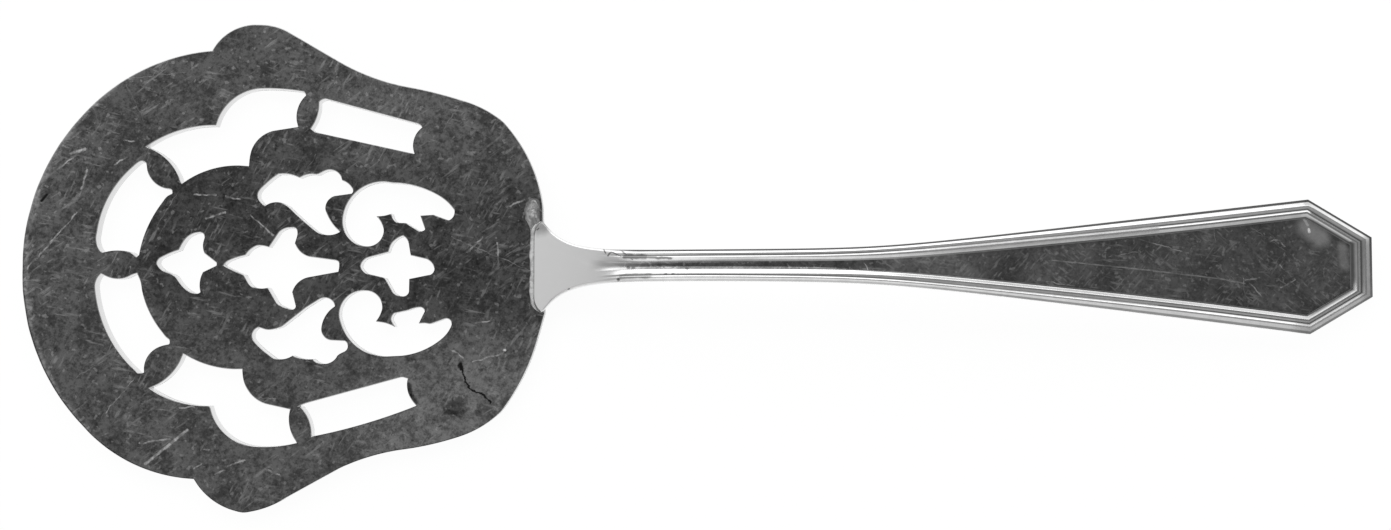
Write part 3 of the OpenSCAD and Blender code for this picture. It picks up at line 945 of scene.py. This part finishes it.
def scratch_group():
    """Straight light scratches at random, at most one in each cell of a net."""
    inputs = {"Cells per mm": FLOAT, "Width": FLOAT, "Share": FLOAT}
    tree, given, result = new_group("fine_scratches", inputs, "Scratch")
    sockets = {"Vector": given["Point"], "Scale": given["Cells per mm"]}
    cell = add("TexVoronoi", sockets, voronoi_dimensions="2D").outputs
    chance = add("SeparateColor", {0: cell["Color"]}).outputs
    angle = times(chance["Red"], math.pi)
    across = combine(calc("COSINE", angle), calc("SINE", angle))
    offset = vectors("SUBTRACT", given["Point"], cell["Position"])
    aside = vectors("DOT_PRODUCT", offset, across, output="Value")
    line = ramp(calc("ABSOLUTE", aside), 0, given["Width"], 1, 0)
    kept = calc("LESS_THAN", chance["Green"], given["Share"])
    tree.links.new(times(times(line, chance["Blue"]), kept), result)
    return tree


def stroke_group():
    """One straight mark between two points."""
    inputs = {"From": VECTOR, "To": VECTOR, "Width": FLOAT}
    tree, given, result = new_group("single_mark", inputs, "Mark")
    way = vectors("SUBTRACT", given["To"], given["From"])
    apart = vectors("SUBTRACT", given["Point"], given["From"])
    along = vectors("DOT_PRODUCT", apart, way, output="Value")
    whole = vectors("DOT_PRODUCT", way, way, output="Value")
    share = calc("DIVIDE", along, whole, clamp=True)
    foot = add("VectorMath", {0: way, "Scale": share}, operation="SCALE").outputs[0]
    distance = vectors("DISTANCE", apart, foot, output="Value")
    inner, outer = (times(given["Width"], share) for share in (0.2, 0.75))
    tree.links.new(ramp(distance, inner, outer, 1, 0), result)
    return tree


TARNISH_GROUP = tarnish_group()
STREAK_GROUP = streak_group()
SCRATCH_GROUP = scratch_group()
STROKE_GROUP = stroke_group()


def new_material(name):
    """An empty metal: the material, its node tree, its shader's inputs and a point's place in mm."""
    material = bpy.data.materials.new(name)
    material.use_nodes = True
    tree = material.node_tree
    shader = tree.nodes["Principled BSDF"].inputs
    shader["Metallic"].default_value = 1
    place = vectors("MULTIPLY", source(tree, "TexCoord")["Object"], [1 / MM] * 3)
    return material, tree, shader, place


def in_plan(place):
    """The same place seen from above."""
    return vectors("MULTIPLY", place, (1, 1, 0))


def facing_up(tree):
    """1 on surfaces that look up, 0 on walls and below."""
    return ramp(axis(source(tree, "NewGeometry")["Normal"], "Z"), 0.4, 0.8)


def apply_finish(tree, shader, colour, rough, height, depth):
    """Colour, roughness and unevenness of a metal, with the depth of its unevenness in mm."""
    bump = add("Bump", {"Strength": 1, "Distance": depth * MM, "Height": height})
    for name, socket in (("Base Color", colour), ("Roughness", rough), ("Normal", bump.outputs[0])):
        tree.links.new(socket, shader[name])


def layer_value(tree, layer):
    return source(tree, "Attribute", attribute_name=layer)["Fac"]


def scratches(point, nets):
    """Several nets of scratches together."""
    total = 0
    for net in nets:
        total = calc("ADD", total, use(SCRATCH_GROUP, point, *net))
    return calc("MINIMUM", total, 1)


def streaks(place, sets):
    """Several sets of streaks together."""
    total = 0
    for angle, length, width in sets:
        total = most(total, use(STREAK_GROUP, place, math.radians(angle), length, width))
    return total


def mark(point, x, y, to_x, to_y, width):
    """One straight mark between two places in plan."""
    return use(STROKE_GROUP, point, (x, y, 0), (to_x, to_y, 0), width)


def marks(point, strokes, width):
    """A set of marks of one width."""
    total = 0
    for ends in strokes:
        total = most(total, mark(point, *ends, width))
    return total


def chain(point, corners, width):
    """One mark from corner to corner."""
    return marks(point, [(*a, *b) for a, b in zip(corners, corners[1:])], width)


def marked(value, point, patches):
    """A value that is at least as high as each mark of a set is strong."""
    for *stroke, strength in patches:
        value = most(value, times(mark(point, *stroke), strength))
    return value


def patched(value, point, patches):
    """A brightness that is changed in patches."""
    for *stroke, change in patches:
        value = changed(value, mark(point, *stroke), change)
    return value


def blade_silver():
    """Dull silver: grain and clouds of tarnish with painted shade, worn streaks, scratches, a crack,
    dark marks and painted shadow on edges.
    """
    material, tree, shader, place = new_material("blade_silver")
    plan = in_plan(place)
    drawn = wavering(plan, 0.9, 0.5)
    broken = ramp(clouds(place, 1.3, 3), 0.38, 0.6, 0.2, 0.62)
    light = most(scratches(drawn, BLADE_NETS), marks(drawn, BLADE_SCRATCHES, 0.2))
    gouges = marks(wavering(plan, 2.2, 0.2), BLADE_GOUGES, 0.34)
    gouges = times(gouges, calc("ADD", broken, 0.15))
    specks = ramp(clouds(place, 1.3, 2), 0.61, 0.7)
    worn = times(most(streaks(place, BLADE_STREAKS), specks), BLADE_STREAK_LIGHT)
    light = most(times(light, broken), gouges, worn, mark(plan, *BLADE_PIT))
    light = times(light, facing_up(tree))
    ragged = wavering(plan, 2.2, 0.5)
    crack = chain(ragged, CRACK, 0.26)
    dark = most(crack, mark(ragged, *CRACK_HEAD), mark(plan, *BLADE_NICK))

    # the blade's dark silver: tarnish, and painted shade for the dark reflection from overhead
    colour = ramp(axis(place, "X"), *BRIGHTER_X, *BLADE_TARNISH_AND_SHADE)
    colour = patched(colour, plan, BLADE_PATCHES)
    colour = changed(colour, use(TARNISH_GROUP, place), -0.62)
    colour = changed(colour, ramp(clouds(place, 1.8, 2), 0.41, 0.32), -0.35)
    colour = patched(colour, drawn, BLADE_DARK_MARKS)
    colour = blend(light, colour, BLADE_SCRATCHED)
    wear_and_shadow = layer_value(tree, "wear_and_shadow")
    colour = blend(wear_and_shadow, colour, WORN_EDGE)
    # negative values of the layer are painted shadow on the edges that face away from the light
    colour = blend(times(wear_and_shadow, -0.85), colour, BLADE_BLACK)
    colour = blend(dark, colour, BLADE_BLACK)
    rough = blend(light, BLADE_POLISH, SCRATCHED_ROUGH)
    uneven = calc("SUBTRACT", clouds(place, 0.9, 3), dark)
    apply_finish(tree, shader, colour, rough, uneven, SILVER_RELIEF)
    return material


def handle_silver():
    """Brighter silver: dirt in the groove, painted shade along the edges, a dark panel of tarnish and
    painted shade with fine marks, a painted sheen and a dent's painted glint, and a satin end.
    """
    material, tree, shader, place = new_material("handle_silver")
    plan = in_plan(place)
    drawn = wavering(plan, 0.9, 0.4)
    x = axis(place, "X")
    heel = ramp(x, *HEEL_CLEAN_X, 1, 0)

    broken = ramp(clouds(place, 0.9, 2), 0.35, 0.6)
    random = times(scratches(drawn, PANEL_NETS), 0.7)
    single = times(marks(drawn, PANEL_SCRATCHES, 0.15), 0.5)
    light = times(most(random, single), broken)
    long = chain(wavering(plan, 0.9, 0.12), LONG_SCRATCH, 0.15)
    long = times(long, calc("MULTIPLY_ADD", broken, 0.25, 0.13))
    specks = ramp(clouds(place, 1.6, 2), 0.59, 0.7)
    worn = times(most(streaks(place, PANEL_STREAKS), specks), PANEL_STREAK_LIGHT)
    dent_glint = mark(plan, *PANEL_DENT_GLINT)
    # the panel's painted sheen and the dent's painted glint join its light marks
    light = most(marked(light, drawn, PANEL_SHEEN), long, worn, dent_glint)
    upward = facing_up(tree)
    panel = times(layer_value(tree, "panel"), upward)
    light = times(light, panel)

    dulled = 0
    for side, (distance, width) in ((1, DULL_REED), (-1, DULL_GROOVE)):
        line = [(TOE_X + u, side * (half_width(u) - from_edge(distance, u))) for u in DULL_U]
        dulled = most(dulled, chain(plan, line, width))
    dulled = times(dulled, ramp(x, *(TOE_X + u for u in DULL_STARTS)))
    nicks = times(times(marks(drawn, STEM_NICKS, 0.17), upward), 0.75)
    dirt_and_shade = most(layer_value(tree, "dirt_and_shade"), nicks)
    dirt_and_shade = changed(marked(dirt_and_shade, drawn, STEM_DIRT), dulled, -0.6)
    end = mark(plan, *END_SATIN)
    satin = most(end, mark(plan, *TIP_SATIN), dulled)
    smear = mark(drawn, *HEEL_SMEAR)

    tarnish = use(TARNISH_GROUP, place)
    # the panel's dark silver: tarnish, and painted shade for the dark reflection from overhead
    cloudy = ramp(clouds(place, 0.16, 3), 0.35, 0.65, *PANEL_TARNISH_AND_SHADE)
    cloudy = changed(patched(cloudy, plan, PANEL_PATCHES), tarnish, -0.45)
    colour = blend(panel, calc("MULTIPLY_ADD", tarnish, -0.12, REED_SILVER), cloudy)
    colour = blend(heel, colour, HEEL_SILVER)
    for share, change in ((satin, -0.25), (end, -0.35), (smear, -0.5)):
        colour = changed(colour, share, change)
    colour = blend(light, colour, PANEL_SCRATCHED)
    # dirt, with the painted shade along the edges
    colour = blend(dirt_and_shade, colour, REED_BLACK)
    rough = blend(most(times(heel, 0.75), satin, smear), HANDLE_POLISH, SATIN)
    rough = blend(dent_glint, blend(light, rough, SCRATCHED_ROUGH), DENT_ROUGH)
    apply_finish(tree, shader, colour, rough, clouds(place, 0.8, 3), SILVER_RELIEF)
    return material


def solder():
    """Rough run solder with dirt along its borders and painted shade in the crease at the toe."""
    material, tree, shader, place = new_material("solder")
    uneven = ramp(clouds(place, 2.2, 3), 0.35, 0.65)
    grime_and_shade = layer_value(tree, "grime_and_shade")
    colour = blend(grime_and_shade, blend(uneven, *SOLDER_SILVER), SOLDER_BLACK)
    rough = blend(grime_and_shade, blend(uneven, *SOLDER_ROUGH), GRIME_ROUGH)
    height = times(clouds(place, 3, 3), calc("SUBTRACT", 1, grime_and_shade))
    apply_finish(tree, shader, colour, rough, height, SOLDER_RELIEF)
    return material


# Studio

def empty_tree(owner):
    """The node tree of a material or a world, without its first nodes."""
    owner.use_nodes = True
    owner.node_tree.nodes.clear()
    return owner.node_tree


def studio_floor():
    """A wide pale floor that stays white in the picture and keeps the object's shadow."""
    mesh = bpy.data.meshes.new("studio_floor")
    corners = [(-1, -1), (1, -1), (1, 1), (-1, 1)]
    points = [(x * FLOOR_REACH, y * FLOOR_REACH, -FLOOR_DROP) for x, y in corners]
    mesh.from_pydata(points, [], [(0, 1, 2, 3)])
    floor = place_object("studio_floor", mesh)
    material = bpy.data.materials.new("studio_floor")
    tree = empty_tree(material)
    path = source(tree, "LightPath")
    seen = calc("ADD", path["Is Camera Ray"], path["Is Glossy Ray"])
    seen = calc("ADD", seen, path["Is Transmission Ray"], clamp=True)
    pale = add("BsdfDiffuse", {"Color": (*[FLOOR_PALE] * 3, 1)}, tree).outputs[0]
    white = add("Emission", {"Color": (1, 1, 1, 1), "Strength": FLOOR_GLOW}, tree).outputs[0]
    mix = add("MixShader", {0: times(seen, FLOOR_WHITE), 1: pale, 2: white})
    add("OutputMaterial", {"Surface": mix.outputs[0]})
    mesh.materials.append(material)


def world_light():
    """Pale surroundings, white at the horizon, with a dark hood overhead."""
    world = bpy.data.worlds.new("studio")
    bpy.context.scene.world = world
    tree = empty_tree(world)
    way = source(tree, "TexCoord")["Generated"]
    x, y, z = (axis(way, name) for name in "XYZ")
    up = calc("MAXIMUM", z, HORIZON_Z)
    spread = 0
    for side, centre, radius in zip((x, y), HOOD_CENTRE, HOOD_RADII):
        apart = calc("SUBTRACT", calc("DIVIDE", side, up), centre)
        spread = calc("ADD", spread, calc("POWER", calc("DIVIDE", apart, radius), 2))
    outside = ramp(calc("SQRT", spread), *HOOD_EDGE)
    fill_light = ramp(x, -0.3, 0.6, 0.62, 0.25)
    fill_light = calc("ADD", fill_light, ramp(y, -0.4, -0.8, 0, 0.3))
    low = ramp(z, 0.05, 0.35, ramp(y, -0.3, -0.8, 1, 0.3), fill_light)
    level = blend(outside, HOOD_LEVEL, low)
    light = add("Background", {"Color": (1, 1, 1, 1), "Strength": level})
    add("OutputWorld", {"Surface": light.outputs[0]})


def softbox():
    """One wide soft lamp on the upper side of the picture."""
    lamp = bpy.data.lights.new("softbox", "AREA")
    lamp.shape = "RECTANGLE"
    lamp.size, lamp.size_y = SOFTBOX_SIZE
    lamp.energy = SOFTBOX_RADIANCE * math.pi * lamp.size * lamp.size_y
    holder = place_object("softbox", lamp)
    holder.location = SOFTBOX_AT
    holder.rotation_euler = (-holder.location).to_track_quat("-Z", "Y").to_euler()
    holder.visible_camera = False


def camera():
    """Square above the object, a little towards its lower side."""
    data = bpy.data.cameras.new("camera")
    holder = place_object("camera", data)
    centre = Vector((
        (IMAGE_W / 2 - CENTRE_PIXEL[0]) * MM_PER_PIXEL * MM,
        (CENTRE_PIXEL[1] - IMAGE_H / 2) * MM_PER_PIXEL * MM,
        BLADE_TOP * MM,
    ))
    holder.location = centre + Vector((0, -CAMERA_BACK, CAMERA_HEIGHT))
    holder.rotation_euler = (math.atan2(CAMERA_BACK, CAMERA_HEIGHT), 0, 0)
    distance = (holder.location - centre).length
    data.sensor_width = SENSOR
    data.lens = SENSOR * distance / (IMAGE_W * MM_PER_PIXEL * MM)
    data.clip_start, data.clip_end = CLIP
    bpy.context.scene.camera = holder


bpy.context.scene.view_settings.view_transform = "Standard"
camera()
studio_floor()
world_light()
softbox()
blade(blade_silver())
handle(handle_silver())
solder_seam(solder())
